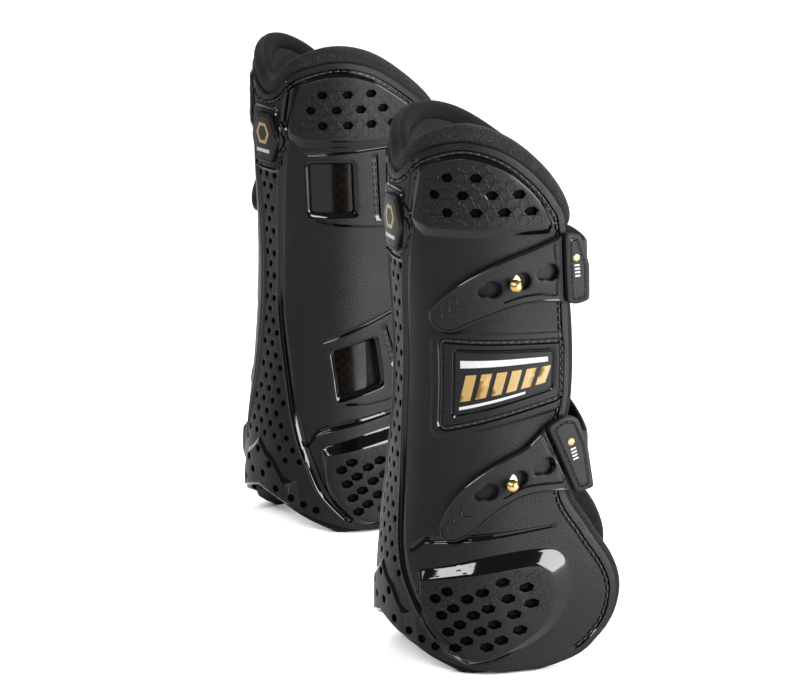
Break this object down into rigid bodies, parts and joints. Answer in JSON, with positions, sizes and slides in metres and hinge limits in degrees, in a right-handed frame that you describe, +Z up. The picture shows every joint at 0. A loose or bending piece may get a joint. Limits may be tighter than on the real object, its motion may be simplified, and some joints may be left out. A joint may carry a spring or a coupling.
{
  "type": "tendon boots",
  "caption": "Pair of open-front tendon boots for a horse's front legs: perforated rubber shell over carbon plates and neoprene lining, closed by elastic straps on ball studs.",
  "frame": {"origin": "on the floor, in the middle of the pair's bounding box", "axes": "+Z up the leg; -Y the way the horse faces, towards the boots' open fronts; -X the right boot's outer side and +X the left boot's outer side"},
  "size_m": [0.3156, 0.121, 0.2341],
  "materials": {
    "shell_rubber": "satin moulded, fine grained, with glossy ridges and bevels",
    "strap_rubber": "satin moulded, fine grained",
    "carbon": "gloss",
    "neoprene": "matt, speckled charcoal knit face",
    "elastic": "woven",
    "badge": "satin with gold and white geometric print",
    "brass": "polished"
  },
  "bodies": {
    "right_boot": {"right_shell": "shell_rubber", "right_lateral_carbon_plate": "carbon", "right_medial_carbon_plate": "carbon", "right_lining": "neoprene", "right_collar": "neoprene", "right_back_badge": "badge", "right_label_badge": "badge", "right_upper_stud": "brass", "right_lower_stud": "brass", "right_upper_stud_washer": "brass", "right_lower_stud_washer": "brass", "right_upper_strap_anchor": "elastic", "right_lower_strap_anchor": "elastic"},
    "right_upper_web": {"right_upper_elastic": "elastic"},
    "right_upper_tab": {"right_upper_strap_tab": "strap_rubber", "right_upper_strap_plate": "strap_rubber"},
    "right_lower_web": {"right_lower_elastic": "elastic"},
    "right_lower_tab": {"right_lower_strap_tab": "strap_rubber", "right_lower_strap_plate": "strap_rubber"},
    "left_boot": {"left_shell": "shell_rubber", "left_lateral_carbon_plate": "carbon", "left_medial_carbon_plate": "carbon", "left_lining": "neoprene", "left_collar": "neoprene", "left_back_badge": "badge", "left_label_badge": "badge", "left_upper_stud": "brass", "left_lower_stud": "brass", "left_upper_stud_washer": "brass", "left_lower_stud_washer": "brass", "left_upper_strap_anchor": "elastic", "left_lower_strap_anchor": "elastic"},
    "left_upper_web": {"left_upper_elastic": "elastic"},
    "left_upper_tab": {"left_upper_strap_tab": "strap_rubber", "left_upper_strap_plate": "strap_rubber"},
    "left_lower_web": {"left_lower_elastic": "elastic"},
    "left_lower_tab": {"left_lower_strap_tab": "strap_rubber", "left_lower_strap_plate": "strap_rubber"}
  },
  "joints": [
    {"name": "right_upper_strap_swing", "type": "hinge", "parent": "right_boot", "child": "right_upper_web", "pos_m": [-0.0828, -0.02885, 0.165], "axis": [0, 0, 1], "range_deg": [0, 150], "deforming": ["right_upper_elastic"]},
    {"name": "right_upper_tab_stretch", "type": "hinge", "parent": "right_upper_web", "child": "right_upper_tab", "pos_m": [-0.0973, 0.01445, 0.167], "axis": [-0.0094, -0.2333, -0.9724], "range_deg": [0, 4.81], "stiffness_Nm_per_rad": 0.6, "deforming": ["right_upper_elastic"]},
    {"name": "right_lower_strap_swing", "type": "hinge", "parent": "right_boot", "child": "right_lower_web", "pos_m": [-0.07984, -0.02849, 0.093], "axis": [0, 0, 1], "range_deg": [0, 150], "deforming": ["right_lower_elastic"]},
    {"name": "right_lower_tab_stretch", "type": "hinge", "parent": "right_lower_web", "child": "right_lower_tab", "pos_m": [-0.09882, 0.01493, 0.0832], "axis": [-0.0201, -0.3659, -0.9304], "range_deg": [0, 4.81], "stiffness_Nm_per_rad": 0.6, "deforming": ["right_lower_elastic"]},
    {"name": "left_upper_strap_swing", "type": "hinge", "parent": "left_boot", "child": "left_upper_web", "pos_m": [0.0923, -0.03861, 0.165], "axis": [0, 0, -1], "range_deg": [0, 150], "deforming": ["left_upper_elastic"]},
    {"name": "left_upper_tab_stretch", "type": "hinge", "parent": "left_upper_web", "child": "left_upper_tab", "pos_m": [0.09589, 0.00691, 0.167], "axis": [-0.0655, 0.2241, 0.9724], "range_deg": [0, 4.81], "stiffness_Nm_per_rad": 0.6, "deforming": ["left_upper_elastic"]},
    {"name": "left_lower_strap_swing", "type": "hinge", "parent": "left_boot", "child": "left_lower_web", "pos_m": [0.08934, -0.03898, 0.093], "axis": [0, 0, -1], "range_deg": [0, 150], "deforming": ["left_lower_elastic"]},
    {"name": "left_lower_tab_stretch", "type": "hinge", "parent": "left_lower_web", "child": "left_lower_tab", "pos_m": [0.09726, 0.00774, 0.0832], "axis": [-0.1081, 0.3502, 0.9304], "range_deg": [0, 4.81], "stiffness_Nm_per_rad": 0.6, "deforming": ["left_lower_elastic"]},
    {"name": "left_boot_lift", "type": "slide", "parent": "right_boot", "child": "left_boot", "axis": [0, 0, 1], "range_m": [0, 0.15]}
  ]
}
